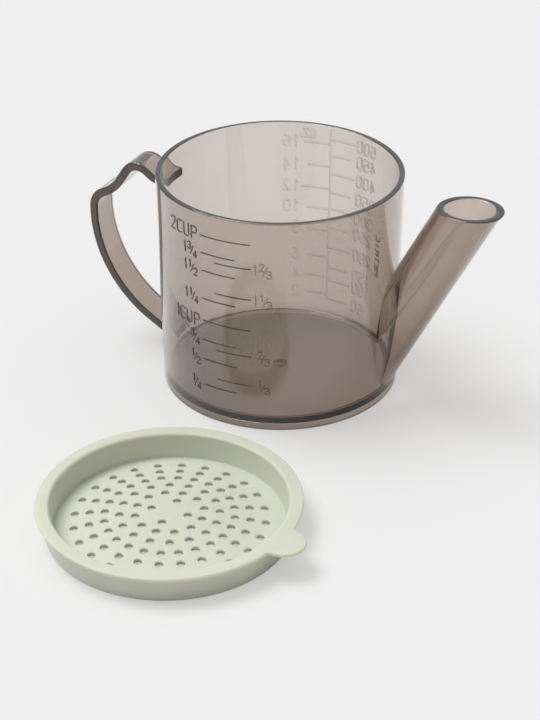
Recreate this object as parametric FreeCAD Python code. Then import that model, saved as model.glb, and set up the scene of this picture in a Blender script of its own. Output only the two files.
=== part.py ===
"""Gravy fat separator: a clear measuring cup with a low-drawing spout, and its loose strainer lid.

Frame: origin on the table at the centre of the cup's foot ring, +Z up, +X towards the spout,
so the handle points along -X. The lid lies on the table beside the cup, at -Y.
All sizes are in millimetres and all angles in degrees.
"""
import FreeCAD, Part
import math
import os

V = FreeCAD.Vector
UP = V(0, 0, 1)

# Cup: outside
CUP_HEIGHT = 89.3
RIM_RADIUS = 48.3
BASE_RADIUS = 47.3
RIM_ROUND = 0.7
FOOT_ROUND = 0.6

# Cup: inside
WALL = 2.3
LID_SEAT_DEPTH = 12.0
FLOOR_TOP = 4.4
FLOOR_THICKNESS = 2.1
FLOOR_CORNER = 2.2
FOOT_RING_WIDTH = 2.4
GATE_RADIUS = 2.6
GATE_HEIGHT = 0.8
GATE_ROOT = 0.5

# Spout: a straight tube that leans away from the cup
SPOUT_TILT = 27.3
SPOUT_RADIUS = 11.15
SPOUT_WALL = 2.5
SPOUT_BELOW_RIM = 1.0
SPOUT_AXIS_AT_TABLE = 32.4
SPOUT_LIP_ROUND = 0.7
SPOUT_LIP_FLARE = 1.1
SPOUT_LIP_DEPTH = 3.0
INLET_TOP = 30.0

# Handle: one flat strap, given by the corners of its centre line as distance out and height
STRAP_WIDTH = 13.5
STRAP_THICKNESS = 3.6
STRAP_EDGE_ROUND = 0.9
STRAP_TOP_HEIGHT = 77.0
ROOT_BEND = (4.5, 77.6, 5.2)
THUMB_HUMP = (13.3, 83.9, 6.2)
THUMB_DIP = (23.2, 69.2, 18.0)
SHOULDER = (32.5, 64.9, 7.6)
LOWER_BEND = (33.5, 30.0, 51.0)
STRAP_FOOT_HEIGHT = 9.3

# Measuring marks, raised on the outside of the cup
FRONT_MARK_WIDTH = 0.5
BACK_MARK_WIDTH = 0.9
SPINE_WIDTH = 0.75
MARK_RAISE = 0.3
MARK_SINK = 0.1
SCALE_BELOW_RIM = 3.0
CUP_SCALE_FROM = -102.6
CUP_SCALE_TO = -78.2
THIRD_MARKS_FROM = -95.3
QUARTER_MARKS_TO = -85.6
BACK_SPINE_ANGLE = 89.2
BACK_SPINE_BELOW_RIM = 1.8
BACK_SPINE_FOOT = 10.5
OUNCE_LONG_ARC = 14.3
OUNCE_SHORT_ARC = 12.0
ML_LONG_ARC = 13.3
ML_SHORT_ARC = 11.3

# Heights of the lines above the table: quarters, thirds and wholes of a cup, then 2 to 16 ounces,
# then 50 to 500 millilitres
QUARTER_HEIGHTS = (15.3, 26.8, 35.4, 53.4, 65.4, 72.9)
THIRD_HEIGHTS = (19.6, 32.4, 57.2, 70.1)
CUP_HEIGHTS = (43.9, 80.15)
OUNCE_HEIGHTS = (12.7, 20.8, 30.3, 42.7, 51.5, 60.8, 70.8, 80.7)
ML_HEIGHTS = (10.7, 19.5, 25.6, 35.1, 44.5, 52.0, 59.4, 67.8, 76.0, 83.1)

# Strainer lid
LID_CLEARANCE = 0.3
LID_X = 11.1
LID_Y = -116.6
LID_HEIGHT = 11.6
SKIRT_DRAFT = 0.9
SKIRT_WALL = 2.9
SKIRT_INNER_DRAFT = 1.0
SKIRT_FOOT_ROUND = 0.9
FLANGE_REACH = 2.0
FLANGE_THICKNESS = 1.5
FLANGE_EDGE_ROUND = 0.7
FLANGE_INNER_ROUND = 1.2
STRAINER_THICKNESS = 1.5
DOME_RISE = 4.6
FLOOR_FILLET = 0.4
TAB_ANGLE = -7.5
TAB_RADIUS = 7.8
TAB_REACH = 8.3
TAB_NECK_ROUND = 1.6
HOLE_RADIUS = 1.5
HOLE_FIRST_RING = 7.0
HOLE_EDGE_MARGIN = 7.25
HOLES_PER_RING = (4, 12, 16, 24, 24, 24)
HOLE_PATTERN_ANGLE = 13.0

MOUTH_RADIUS = RIM_RADIUS - WALL
CAVITY_FLOOR_RADIUS = BASE_RADIUS - WALL
SPOUT_BORE_RADIUS = SPOUT_RADIUS - SPOUT_WALL
SPOUT_TOP = CUP_HEIGHT - SPOUT_BELOW_RIM
CLEAR = 60.0


def rounded_edges(corners, closed):
    """Lines and tangent arcs through (x, y, radius) corners drawn in the XY plane."""
    count = len(corners)
    inner = range(count) if closed else range(1, count - 1)
    starts = {}
    ends = {}
    arcs = {}
    for i in range(count):
        point = V(corners[i][0], corners[i][1], 0)
        starts[i] = point
        ends[i] = point
        radius = corners[i][2]
        if i not in inner or radius <= 0:
            continue
        before = V(*corners[i - 1][:2], 0) - point
        after = V(*corners[(i + 1) % count][:2], 0) - point
        before.normalize()
        after.normalize()
        half = before.getAngle(after) / 2
        reach = radius / math.tan(half)
        middle = before + after
        middle.normalize()
        starts[i] = point + before * reach
        ends[i] = point + after * reach
        top = point + middle * (radius / math.sin(half) - radius)
        arcs[i] = Part.Arc(starts[i], top, ends[i]).toShape()
    edges = []
    for i in range(count if closed else count - 1):
        if i in arcs:
            edges.append(arcs[i])
        following = (i + 1) % count
        if (ends[i] - starts[following]).Length > 1e-6:
            edges.append(Part.makeLine(ends[i], starts[following]))
    return edges


def turned(corners):
    """A solid of revolution about Z from (radius, height, corner radius) points."""
    face = Part.Face(Part.Wire(rounded_edges(corners, True)))
    face.rotate(V(0, 0, 0), V(1, 0, 0), 90)
    return face.revolve(V(0, 0, 0), UP, 360)


def wall_radius(height):
    """Outside radius of the tapered cup wall at a height."""
    return BASE_RADIUS + (RIM_RADIUS - BASE_RADIUS) * height / CUP_HEIGHT


def cup_envelope():
    """The cup's outside as one plain solid, used to trim what seats on the wall."""
    taller = CUP_HEIGHT * 1.5
    return Part.makeCone(BASE_RADIUS, wall_radius(taller), taller)


def spout_direction():
    tilt = math.radians(SPOUT_TILT)
    return V(math.sin(tilt), 0, math.cos(tilt))


def spout_rod(radius):
    """A rod of this radius on the spout's axis, longer than the spout at both ends."""
    direction = spout_direction()
    foot = V(SPOUT_AXIS_AT_TABLE, 0, 0) - direction * CLEAR
    length = SPOUT_TOP / direction.z + 2 * CLEAR
    return Part.makeCylinder(radius, length, foot, direction)


def level_slab(low, high):
    """A slab over the spout's side of the cup, between two heights."""
    return Part.makeBox(4 * RIM_RADIUS, 2 * RIM_RADIUS, high - low, V(0, -RIM_RADIUS, low))


def make_vessel():
    underside = FLOOR_TOP - FLOOR_THICKNESS
    foot_inner = BASE_RADIUS - FOOT_RING_WIDTH
    seat = CUP_HEIGHT - LID_SEAT_DEPTH
    body = turned([
        (0, underside, 0),
        (foot_inner, underside, 0.5),
        (foot_inner, 0, 0.3),
        (BASE_RADIUS, 0, FOOT_ROUND),
        (RIM_RADIUS, CUP_HEIGHT, RIM_ROUND),
        (MOUTH_RADIUS, CUP_HEIGHT, RIM_ROUND),
        (MOUTH_RADIUS, seat, 0),
        (CAVITY_FLOOR_RADIUS, FLOOR_TOP, FLOOR_CORNER),
        (0, FLOOR_TOP, 0),
    ])
    gate = Part.makeCylinder(GATE_RADIUS, GATE_HEIGHT + GATE_ROOT, V(0, 0, underside - GATE_HEIGHT))
    dimple = Part.makeCone(GATE_RADIUS * 0.6, 0, GATE_HEIGHT, V(0, 0, underside - GATE_HEIGHT))
    sill = FLOOR_TOP + FLOOR_CORNER
    inlet = spout_rod(SPOUT_BORE_RADIUS).common(level_slab(sill, INLET_TOP))
    return body.fuse(gate).cut(dimple).cut(inlet).removeSplitter()


def spout_ring(height, flare):
    """The level outline of the spout at a height, pushed out by a flare on the side that pours."""
    tilt = math.radians(SPOUT_TILT)
    radius = SPOUT_RADIUS + flare / 2
    centre = V(SPOUT_AXIS_AT_TABLE + height * math.tan(tilt) + flare / 2, 0, height)
    return Part.Wire([Part.Ellipse(centre, radius / math.cos(tilt), radius).toShape()])


def make_spout():
    lip_foot = SPOUT_TOP - SPOUT_LIP_DEPTH
    tube = spout_rod(SPOUT_RADIUS).common(level_slab(0, lip_foot))
    flared = Part.makeLoft([spout_ring(lip_foot, 0), spout_ring(SPOUT_TOP, SPOUT_LIP_FLARE)], True, True)
    tube = tube.fuse(flared).cut(spout_rod(SPOUT_BORE_RADIUS)).removeSplitter()
    lip = [edge for edge in tube.Edges
           if abs(edge.BoundBox.ZMin - SPOUT_TOP) < 1e-6 and edge.BoundBox.ZLength < 1e-6]
    tube = tube.makeFillet(SPOUT_LIP_ROUND, lip)
    return outside_piece(tube.cut(cup_envelope()))


def outside_piece(shape):
    """The largest solid left after a trim."""
    return max(shape.Solids, key=lambda solid: solid.Volume)


def shifted_outline(corners, distance):
    """Corners moved sideways by a distance, with radii that keep the arcs parallel."""
    moved = []
    count = len(corners)
    for i, (x, y, radius) in enumerate(corners):
        here = V(x, y, 0)
        into = here - V(*corners[i - 1][:2], 0) if i > 0 else V(*corners[1][:2], 0) - here
        out = V(*corners[i + 1][:2], 0) - here if i < count - 1 else into
        into.normalize()
        out.normalize()
        normal = V(-into.y - out.y, into.x + out.x, 0)
        normal.normalize()
        stretch = distance / normal.dot(V(-into.y, into.x, 0))
        turn = into.cross(out).z
        grown = 0
        if radius > 0:
            grown = radius - distance if turn > 0 else radius + distance
        moved.append((x + normal.x * stretch, y + normal.y * stretch, grown))
    return moved


def make_handle():
    """The strap's parallel-sided outline, pushed out to its width and trimmed on the wall."""
    buried = WALL * 1.5
    rise = (ROOT_BEND[1] - STRAP_TOP_HEIGHT) / ROOT_BEND[0]
    drop = (LOWER_BEND[1] - STRAP_FOOT_HEIGHT) / LOWER_BEND[0]
    wall = wall_radius(STRAP_TOP_HEIGHT)
    centre_line = [
        (-wall + buried, STRAP_TOP_HEIGHT - rise * buried, 0),
        (-wall - ROOT_BEND[0], ROOT_BEND[1], ROOT_BEND[2]),
        (-wall - THUMB_HUMP[0], THUMB_HUMP[1], THUMB_HUMP[2]),
        (-wall - THUMB_DIP[0], THUMB_DIP[1], THUMB_DIP[2]),
        (-wall - SHOULDER[0], SHOULDER[1], SHOULDER[2]),
        (-wall - LOWER_BEND[0], LOWER_BEND[1], LOWER_BEND[2]),
        (-wall + buried, STRAP_FOOT_HEIGHT - drop * buried, 0),
    ]
    half = STRAP_THICKNESS / 2
    inner = rounded_edges(shifted_outline(centre_line, half), False)
    outer = rounded_edges(shifted_outline(centre_line, -half), False)
    caps = [
        Part.makeLine(inner[0].Vertexes[0].Point, outer[0].Vertexes[0].Point),
        Part.makeLine(inner[-1].Vertexes[-1].Point, outer[-1].Vertexes[-1].Point),
    ]
    outline = Part.Wire(Part.__sortEdges__(inner + outer + caps))
    face = Part.Face(outline)
    face.rotate(V(0, 0, 0), V(1, 0, 0), 90)
    face.translate(V(0, STRAP_WIDTH / 2, 0))
    strap = face.extrude(V(0, -STRAP_WIDTH, 0))
    long_edges = [edge for edge in strap.Edges
                  if edge.BoundBox.YLength < 1e-6 and edge.BoundBox.XMin < -wall]
    strap = strap.makeFillet(STRAP_EDGE_ROUND, long_edges)
    return outside_piece(strap.cut(cup_envelope()))


def on_wall(heights):
    """The heights of a scale that lie below the plain band under the rim."""
    return [height for height in heights if height < CUP_HEIGHT - SCALE_BELOW_RIM]


def mark(height, start, end, width):
    """A raised level line on the cup wall between two angles."""
    low = height - width / 2
    high = height + width / 2
    inner = wall_radius(height) - MARK_SINK
    outer = wall_radius(height) + MARK_RAISE
    section = Part.makePolygon([
        V(inner, 0, low),
        V(outer, 0, low + width / 4),
        V(outer, 0, high - width / 4),
        V(inner, 0, high),
        V(inner, 0, low),
    ])
    face = Part.Face(section)
    face.rotate(V(0, 0, 0), UP, start)
    return face.revolve(V(0, 0, 0), UP, end - start)


def make_cup_marks():
    """Full lines for whole cups, lines on the left for quarters and on the right for thirds."""
    marks = []
    for heights, start, end in [(CUP_HEIGHTS, CUP_SCALE_FROM, CUP_SCALE_TO),
                                (QUARTER_HEIGHTS, CUP_SCALE_FROM, QUARTER_MARKS_TO),
                                (THIRD_HEIGHTS, THIRD_MARKS_FROM, CUP_SCALE_TO)]:
        for height in on_wall(heights):
            marks.append(mark(height, start, end, FRONT_MARK_WIDTH))
    return Part.makeCompound(marks)


def make_ounce_marks():
    """The back spine and a line for every two ounces, the longer ones at every four."""
    spine_top = CUP_HEIGHT - BACK_SPINE_BELOW_RIM
    lean = math.degrees(math.atan((RIM_RADIUS - BASE_RADIUS) / CUP_HEIGHT))
    spine = Part.makeBox(MARK_SINK + MARK_RAISE, SPINE_WIDTH, spine_top - BACK_SPINE_FOOT)
    spine.translate(V(-MARK_SINK, -SPINE_WIDTH / 2, 0))
    spine.rotate(V(0, 0, 0), V(0, 1, 0), lean)
    spine.translate(V(wall_radius(BACK_SPINE_FOOT), 0, BACK_SPINE_FOOT))
    spine.rotate(V(0, 0, 0), UP, BACK_SPINE_ANGLE)
    half_width = math.degrees(SPINE_WIDTH / 2 / BASE_RADIUS)
    start = BACK_SPINE_ANGLE + half_width
    marks = [spine]
    for index, height in enumerate(on_wall(OUNCE_HEIGHTS)):
        end = BACK_SPINE_ANGLE + (OUNCE_LONG_ARC if index % 2 else OUNCE_SHORT_ARC)
        marks.append(mark(height, start, end, BACK_MARK_WIDTH))
    return Part.makeCompound(marks)


def make_millilitre_marks():
    """A line for every fifty millilitres, the longer ones at every hundred."""
    half_width = math.degrees(SPINE_WIDTH / 2 / BASE_RADIUS)
    end = BACK_SPINE_ANGLE - half_width
    marks = []
    for index, height in enumerate(on_wall(ML_HEIGHTS)):
        start = BACK_SPINE_ANGLE - (ML_LONG_ARC if index % 2 else ML_SHORT_ARC)
        marks.append(mark(height, start, end, BACK_MARK_WIDTH))
    return Part.makeCompound(marks)


def flange_plate(flange_radius, inner_radius):
    """The flange and its thumb tab as one flat plate, the tab along +X."""
    tab_centre = flange_radius + TAB_REACH - TAB_RADIUS
    to_flange = flange_radius + TAB_NECK_ROUND
    to_tab = TAB_RADIUS + TAB_NECK_ROUND
    neck_x = (to_flange ** 2 - to_tab ** 2 + tab_centre ** 2) / (2 * tab_centre)
    neck_y = math.sqrt(to_flange ** 2 - neck_x ** 2)
    neck = V(neck_x, neck_y, 0)
    flange_touch = neck * (flange_radius / to_flange)
    tab_touch = neck + (V(tab_centre, 0, 0) - neck) * (TAB_NECK_ROUND / to_tab)
    neck_turn = (flange_touch - neck) + (tab_touch - neck)
    neck_turn.normalize()
    neck_middle = neck + neck_turn * TAB_NECK_ROUND

    def below(point):
        return V(point.x, -point.y, 0)

    outline = Part.Wire([
        Part.Arc(flange_touch, V(-flange_radius, 0, 0), below(flange_touch)).toShape(),
        Part.Arc(below(flange_touch), below(neck_middle), below(tab_touch)).toShape(),
        Part.Arc(below(tab_touch), V(tab_centre + TAB_RADIUS, 0, 0), tab_touch).toShape(),
        Part.Arc(tab_touch, neck_middle, flange_touch).toShape(),
    ])
    plate = Part.Face(outline).extrude(V(0, 0, FLANGE_THICKNESS))
    plate = plate.makeFillet(FLANGE_EDGE_ROUND, [edge for edge in plate.Edges
                                                 if edge.BoundBox.ZLength < 1e-6])
    plate.translate(V(0, 0, LID_HEIGHT - FLANGE_THICKNESS))
    return plate.cut(Part.makeCylinder(inner_radius, 2 * LID_HEIGHT))


def strainer_dish(skirt_top_radius):
    """The skirt and the domed floor inside it, turned about the lid's axis."""
    skirt_foot = skirt_top_radius - SKIRT_DRAFT
    inner_top = skirt_top_radius - SKIRT_WALL
    floor_radius = inner_top - SKIRT_INNER_DRAFT
    dome_radius = (floor_radius ** 2 + DOME_RISE ** 2) / (2 * DOME_RISE)
    dome_centre = STRAINER_THICKNESS + DOME_RISE - dome_radius
    outer = turned([
        (0, 0, 0),
        (skirt_foot, 0, SKIRT_FOOT_ROUND),
        (skirt_top_radius, LID_HEIGHT, 0),
        (0, LID_HEIGHT, 0),
    ])
    hollow = turned([
        (0, STRAINER_THICKNESS, 0),
        (floor_radius, STRAINER_THICKNESS, 0),
        (inner_top, LID_HEIGHT, 0),
        (0, LID_HEIGHT, 0),
    ])
    dome = Part.makeSphere(dome_radius, V(0, 0, dome_centre))
    under = Part.makeSphere(dome_radius - STRAINER_THICKNESS, V(0, 0, dome_centre))
    dish = outer.cut(hollow.cut(dome)).cut(under)
    return dish, inner_top, floor_radius


def level_circles(shape, radius, height):
    """The full circles of this radius that lie flat at this height."""
    found = []
    for edge in shape.Edges:
        box = edge.BoundBox
        flat = box.ZLength < 1e-4 and abs(box.ZMax - height) < 1e-3
        if flat and abs(box.XLength - 2 * radius) < 1e-2:
            found.append(edge)
    return found


def hole_tools(floor_radius):
    """A pin for every strainer hole, in rings about the lid's axis."""
    tools = []
    last_ring = floor_radius - HOLE_EDGE_MARGIN
    ring_step = (last_ring - HOLE_FIRST_RING) / (len(HOLES_PER_RING) - 1)
    for ring, count in enumerate(HOLES_PER_RING):
        radius = HOLE_FIRST_RING + ring * ring_step
        for step in range(count):
            angle = math.radians(HOLE_PATTERN_ANGLE + 360 * step / count)
            foot = V(radius * math.cos(angle), radius * math.sin(angle), 0)
            tools.append(Part.makeCylinder(HOLE_RADIUS, LID_HEIGHT, foot))
    return Part.makeCompound(tools)


def make_lid():
    skirt_top_radius = MOUTH_RADIUS - LID_CLEARANCE
    flange_radius = RIM_RADIUS - WALL + FLANGE_REACH
    dish, inner_top, floor_radius = strainer_dish(skirt_top_radius)
    lid = dish.fuse(flange_plate(flange_radius, inner_top)).removeSplitter()
    lid = lid.makeFillet(FLANGE_INNER_ROUND, level_circles(lid, inner_top, LID_HEIGHT))
    lid = lid.makeFillet(FLOOR_FILLET, level_circles(lid, floor_radius, STRAINER_THICKNESS))
    lid = outside_piece(lid.cut(hole_tools(floor_radius)))
    lid.rotate(V(0, 0, 0), UP, TAB_ANGLE)
    lid.translate(V(LID_X, LID_Y, 0))
    return lid


def save(name, shape):
    """Writes one piece and prints its solids and volume as a check."""
    shape.exportStep("parts/" + name + ".step")
    print(name, "solids", len(shape.Solids), "valid", shape.isValid(), "mm3", round(shape.Volume, 1))


os.makedirs("parts", exist_ok=True)
save("vessel", make_vessel())
save("pouring_spout", make_spout())
save("handle", make_handle())
save("cup_scale_marks", make_cup_marks())
save("ounce_scale_marks", make_ounce_marks())
save("millilitre_scale_marks", make_millilitre_marks())
save("strainer_lid", make_lid())
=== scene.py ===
"""Gravy fat separator: the clear measuring cup with its raised scales, and the loose strainer lid.

Lengths are millimetres in the frame of the CAD model: origin at the centre of the cup's foot, +Z up,
+X towards the spout, the lid at -Y. MM turns them into metres when a mesh is made.
"""
import math
import bpy
import numpy as np
from mathutils import Matrix, Vector


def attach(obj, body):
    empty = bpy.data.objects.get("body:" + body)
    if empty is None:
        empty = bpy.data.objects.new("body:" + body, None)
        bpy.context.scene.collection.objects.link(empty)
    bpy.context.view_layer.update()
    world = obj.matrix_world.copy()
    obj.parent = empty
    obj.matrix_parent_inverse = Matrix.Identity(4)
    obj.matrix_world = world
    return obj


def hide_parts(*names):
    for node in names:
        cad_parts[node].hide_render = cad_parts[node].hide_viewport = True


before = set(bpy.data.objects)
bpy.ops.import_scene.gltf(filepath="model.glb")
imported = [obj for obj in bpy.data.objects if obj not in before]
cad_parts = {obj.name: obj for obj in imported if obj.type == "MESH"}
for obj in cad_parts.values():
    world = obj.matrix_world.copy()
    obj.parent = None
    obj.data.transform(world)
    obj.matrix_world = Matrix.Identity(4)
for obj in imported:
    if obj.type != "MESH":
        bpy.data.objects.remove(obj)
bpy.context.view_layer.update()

MM = 0.001

# Cup
CUP_HEIGHT = 89.3
RIM_RADIUS = 48.3
FOOT_RADIUS = 47.3
MOUTH_RADIUS = 46.0
CAVITY_FLOOR_RADIUS = 45.0
SEAT_HEIGHT = 77.3
FLOOR_TOP = 4.4
FLOOR_UNDERSIDE = 2.3
FLOOR_CORNER = 2.2
FOOT_INNER_RADIUS = 44.9
GATE_RADIUS = 2.6
GATE_DROP = 0.8

# Spout
SPOUT_TILT = math.radians(27.3)
SPOUT_RADIUS = 11.15
BORE_RADIUS = 8.65
SPOUT_TOP = 88.3
SPOUT_AXIS_AT_TABLE = 32.4
SPOUT_LIP_ROUND = 0.9
SPOUT_LIP_FLARE = 0.75
SPOUT_LIP_DEPTH = 3.0
INLET_TOP = 30.0

# Plugs that trim the spout, the strap and the bore to the wall: inset from its outer face, and heights
CORE_INSET = 1.15
ENVELOPE_INSET = 0.05
PLUG_FROM = -30
PLUG_TO = 120

# Handle: corners of the strap's centre line as (x, z, arc radius)
STRAP_WIDTH = 13.5
STRAP_THICKNESS = 3.6
STRAP_EDGE_ROUND = 0.9
STRAP_CORNERS = [
    (-42.0, 76.18, 0.0),
    (-52.66, 77.6, 5.2),
    (-61.46, 83.9, 6.2),
    (-71.36, 69.2, 18.0),
    (-80.66, 64.9, 7.6),
    (-81.66, 30.0, 51.0),
    (-42.0, 5.5, 0.0),
]

# Raised marks
MARK_RAISE = 0.3
MARK_SINK = 0.12
WALL_U = 47.8
FRONT_WIDTH = 0.5
BACK_WIDTH = 0.8
BACK_LETTER_WIDTH = 0.6
SPINE_WIDTH = 0.75
SPINE_ANGLE = 89.2
CUP_LINES = [(43.9, "1", 0.9, 0.8), (80.15, "2", 0.0, 0.0)]
QUARTER_LINES = [(15.3, "", "1", "4"), (26.8, "", "1", "2"), (35.4, "", "3", "4"),
                 (53.4, "1", "1", "4"), (65.4, "1", "1", "2"), (72.9, "1", "3", "4")]
THIRD_LINES = [(19.6, "", "1", "3"), (32.4, "", "2", "3"), (57.2, "1", "1", "3"), (70.1, "1", "2", "3")]
OUNCE_HEIGHTS = (12.7, 20.8, 30.3, 42.7, 51.5, 60.8, 70.8, 80.7)
OUNCE_LENGTHS = (9.4, 11.3, 9.2, 9.3, 9.5, 12.3, 9.5, 11.2)
ML_HEIGHTS = (10.7, 19.5, 25.6, 35.1, 44.5, 52.0, 59.4, 67.8, 76.0, 83.1)
ML_LONG_ARC = 13.3
ML_SHORT_ARC = 11.3
SPINE_FROM = 10.5
SPINE_TO = 87.2
CUP_SCALE_FROM = -102.6
CUP_SCALE_TO = -78.2
THIRD_LINES_FROM = -95.3
QUARTER_LINES_TO = -85.6

# Labels: u is the distance round the wall, sizes are (width, height)
COUNT_U = -102.4
CUP_WORD_U = -98.3
CUP_LETTER = (2.6, 5.2)
CUP_PITCH = 4.1
QUARTER_LABEL_U = -93.6
THIRD_LABEL_U = -64.0
LONG_THIRD_LABEL_U = -63.0
OUNCE_LABEL_U = 13.5
OUNCE_LETTER = (2.5, 4.8)
OUNCE_PITCH = 4.1
ML_LABEL_U = -15.6
ML_LETTER = (2.6, 5.0)
ML_PITCH = 3.9

# Parts of a fraction label: (u, z) from the label's place, then the digit's size
WHOLE_DIGIT = (-1.1, -2.1, (1.4, 4.2))
TOP_DIGIT = (1.3, -0.4, (1.5, 3.0))
LOW_DIGIT = (4.0, -3.3, (1.7, 2.9))
SLASH = [(2.5, -2.3), (4.1, 1.1)]

# Where the marks are looked for when the painted shade is written: heights, and degrees about the cup's
# axis
MARK_STANDS_OUT = 0.04
MARKS_FROM = 5
MARKS_TO = 88
FRONT_MARKS_FROM = -135
FRONT_MARKS_TO = -77
PALE_LABELS_TO = -65
BACK_MARKS_MIDDLE = 90
BACK_MARKS_SPREAD = 45
UNIT_WORD_TO = 58
FLANK_LEAN = 0.85

# Strainer lid
LID_X = 11.1
LID_Y = -116.6
LID_HEIGHT = 11.6
SKIRT_RADIUS = 45.7
SKIRT_FOOT_RADIUS = 44.8
SKIRT_INNER_TOP = 42.8
SKIRT_INNER_FOOT = 41.8
FLANGE_RADIUS = 48.0
FLANGE_THICKNESS = 1.5
FLANGE_EDGE_ROUND = 0.7
STRAINER_THICKNESS = 1.5
DOME_RISE = 4.6
FLOOR_FILLET = 0.4
TAB_ANGLE = -7.5
TAB_RADIUS = 7.8
TAB_REACH = 8.3
TAB_NECK_ROUND = 1.6
HOLE_RADIUS = 1.5
HOLE_RINGS = [(7.0 + 5.51 * ring, count) for ring, count in enumerate((4, 12, 16, 24, 24, 24))]
HOLE_PATTERN_ANGLE = 13.0

# Looks: tints of the clear plastic, painted shade on its marks, strap and spout, light and backdrop
PLASTIC_TINT = (0.56, 0.46, 0.385, 1)
PLASTIC_TINT_DENSITY = 395.0
PLASTIC_SHADOW_TINT = (0.85, 0.83, 0.81, 1)
# Painted shade: the next four face colours darken the marks, the labels on the right, the strap and the
# spout, for the dark that refraction and reflection give them
MARK_PAINTED_SHADE = (0.05, 0.045, 0.042, 1)
LABEL_PAINTED_SHADE = (0.45, 0.42, 0.4, 1)
STRAP_PAINTED_SHADE = (0.72, 0.67, 0.63, 1)
SPOUT_PAINTED_SHADE = (0.91, 0.88, 0.86, 1)
BACKDROP = 0.863
WIDE_LAMP_GAIN = 1.1
KEY_FROM = (-0.75, -0.12, 1.5)
KEY_SHARE = 0.45
PALE_SHADOW = 0.5
PALE_UNDER_PLASTIC = 0.1
SKY_SHARE = 0.30

# Camera, fitted to the photograph
CAMERA_AZIMUTH = math.radians(25.5)
CAMERA_ELEVATION = math.radians(30.307)
CAMERA_ROLL = math.radians(-0.22)
CAMERA_LENS = 93.83
CAMERA_TARGET = (-3.74, -1.78, 4.10)
CAMERA_DISTANCE = 766.8


def wall_radius(height):
    """Outside radius of the tapered wall: foot radius plus the taper's share of the height."""
    return FOOT_RADIUS + (RIM_RADIUS - FOOT_RADIUS) * height / CUP_HEIGHT


def rounded_line(corners, step=0.3, closed=False, fitted=False):
    """A line through (x, y, radius) corners, each corner replaced by a tangent arc.

    The arc of a corner starts radius / tan(half the angle) before it; its points sit on the circle
    round the centre that lies radius / sin(half the angle) from the corner on the bisector. A fitted
    line makes a radius smaller where two arcs would meet past the middle of the run between them.
    """
    points = np.array([corner[:2] for corner in corners], float)
    count = len(points)
    line = []
    for i, (x, y, radius) in enumerate(corners):
        here = points[i]
        if radius <= 0 or (not closed and i in (0, count - 1)):
            line.append(here[None])
            continue
        before = points[i - 1] - here
        after = points[(i + 1) % count] - here
        room = min(np.linalg.norm(before) * (0.49 if corners[i - 1][2] else 0.98),
                   np.linalg.norm(after) * (0.49 if corners[(i + 1) % count][2] else 0.98))
        before /= np.linalg.norm(before)
        after /= np.linalg.norm(after)
        half = math.acos(np.clip(before @ after, -1, 1)) / 2
        if fitted:
            radius = min(radius, room * math.tan(half))
        middle = (before + after) / np.linalg.norm(before + after)
        centre = here + middle * radius / math.sin(half)
        start = here + before * radius / math.tan(half) - centre
        end = here + after * radius / math.tan(half) - centre
        sweep = math.pi - 2 * half
        turn = np.sign(start[0] * end[1] - start[1] * end[0])
        angles = np.linspace(0, sweep, max(3, int(radius * sweep / step) + 2)) * turn
        arc = np.stack([start[0] * np.cos(angles) - start[1] * np.sin(angles),
                        start[0] * np.sin(angles) + start[1] * np.cos(angles)], 1)
        line.append(centre + arc)
    return np.concatenate(line)


def skin(grid, ring=False):
    """Closed mesh over a grid of rings: quads between neighbouring rings, each ring joined round.

    The end rings are closed by fans to their middle points, or joined to each other for a loop.
    """
    stations, around = grid.shape[:2]
    index = np.arange(stations * around).reshape(stations, around)
    along = np.concatenate([index, index[:1]]) if ring else index
    low = along[:-1]
    high = along[1:]
    quads = np.stack([low, np.roll(low, -1, 1), np.roll(high, -1, 1), high], 2).reshape(-1, 4)
    points = grid.reshape(-1, 3)
    faces = quads.tolist()
    if not ring:
        ends = np.stack([grid[0].mean(0), grid[-1].mean(0)])
        points = np.concatenate([points, ends])
        first = np.stack([np.roll(index[0], -1), index[0], np.full(around, len(points) - 2)], 1)
        last = np.stack([index[-1], np.roll(index[-1], -1), np.full(around, len(points) - 1)], 1)
        faces = faces + first.tolist() + last.tolist()
    corner = np.concatenate([quads[:, [0, 1, 2]], quads[:, [0, 2, 3]]])
    if not ring:
        corner = np.concatenate([corner, first, last])
    a, b, c = (points[corner[:, k]] for k in range(3))
    if np.einsum("ij,ij->i", a, np.cross(b, c)).sum() < 0:
        faces = [face[::-1] for face in faces]
    return points, faces


def solid(name, skins):
    """One mesh object in metres from several closed skins in millimetres."""
    points = []
    faces = []
    start = 0
    for skin_points, skin_faces in skins:
        points.append(skin_points)
        faces.extend([[corner + start for corner in face] for face in skin_faces])
        start += len(skin_points)
    mesh = bpy.data.meshes.new(name)
    mesh.from_pydata((np.concatenate(points) * MM).tolist(), [], faces)
    item = bpy.data.objects.new(name, mesh)
    bpy.context.scene.collection.objects.link(item)
    return item


def turned(profile, segments, centre=(0, 0)):
    """Rings about a vertical axis, one for each (radius, height) point of the profile."""
    angles = np.linspace(0, 2 * math.pi, segments, endpoint=False)
    radius = profile[:, 0, None]
    return np.stack([centre[0] + radius * np.cos(angles),
                     centre[1] + radius * np.sin(angles),
                     profile[:, 1, None] + 0 * radius * angles], 2)


def leaning_tube(levels, radius):
    """Level rings of the slanting spout: ellipses whose centre moves out with the height.

    Each level is (height, growth, shift): growth widens the ring and shift moves it outwards, for the
    lip. A level cut through a round rod is an ellipse, longer by 1 / cos(tilt) along the lean.
    """
    angles = np.linspace(0, 2 * math.pi, 240, endpoint=False)
    height, growth, shift = np.array(levels, float).T[:, :, None]
    centre = SPOUT_AXIS_AT_TABLE + height * math.tan(SPOUT_TILT) + shift
    x = centre + (radius / math.cos(SPOUT_TILT) + growth) * np.cos(angles)
    y = (radius + growth) * np.sin(angles)
    return np.stack([x, y, height + 0 * x], 2)


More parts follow.
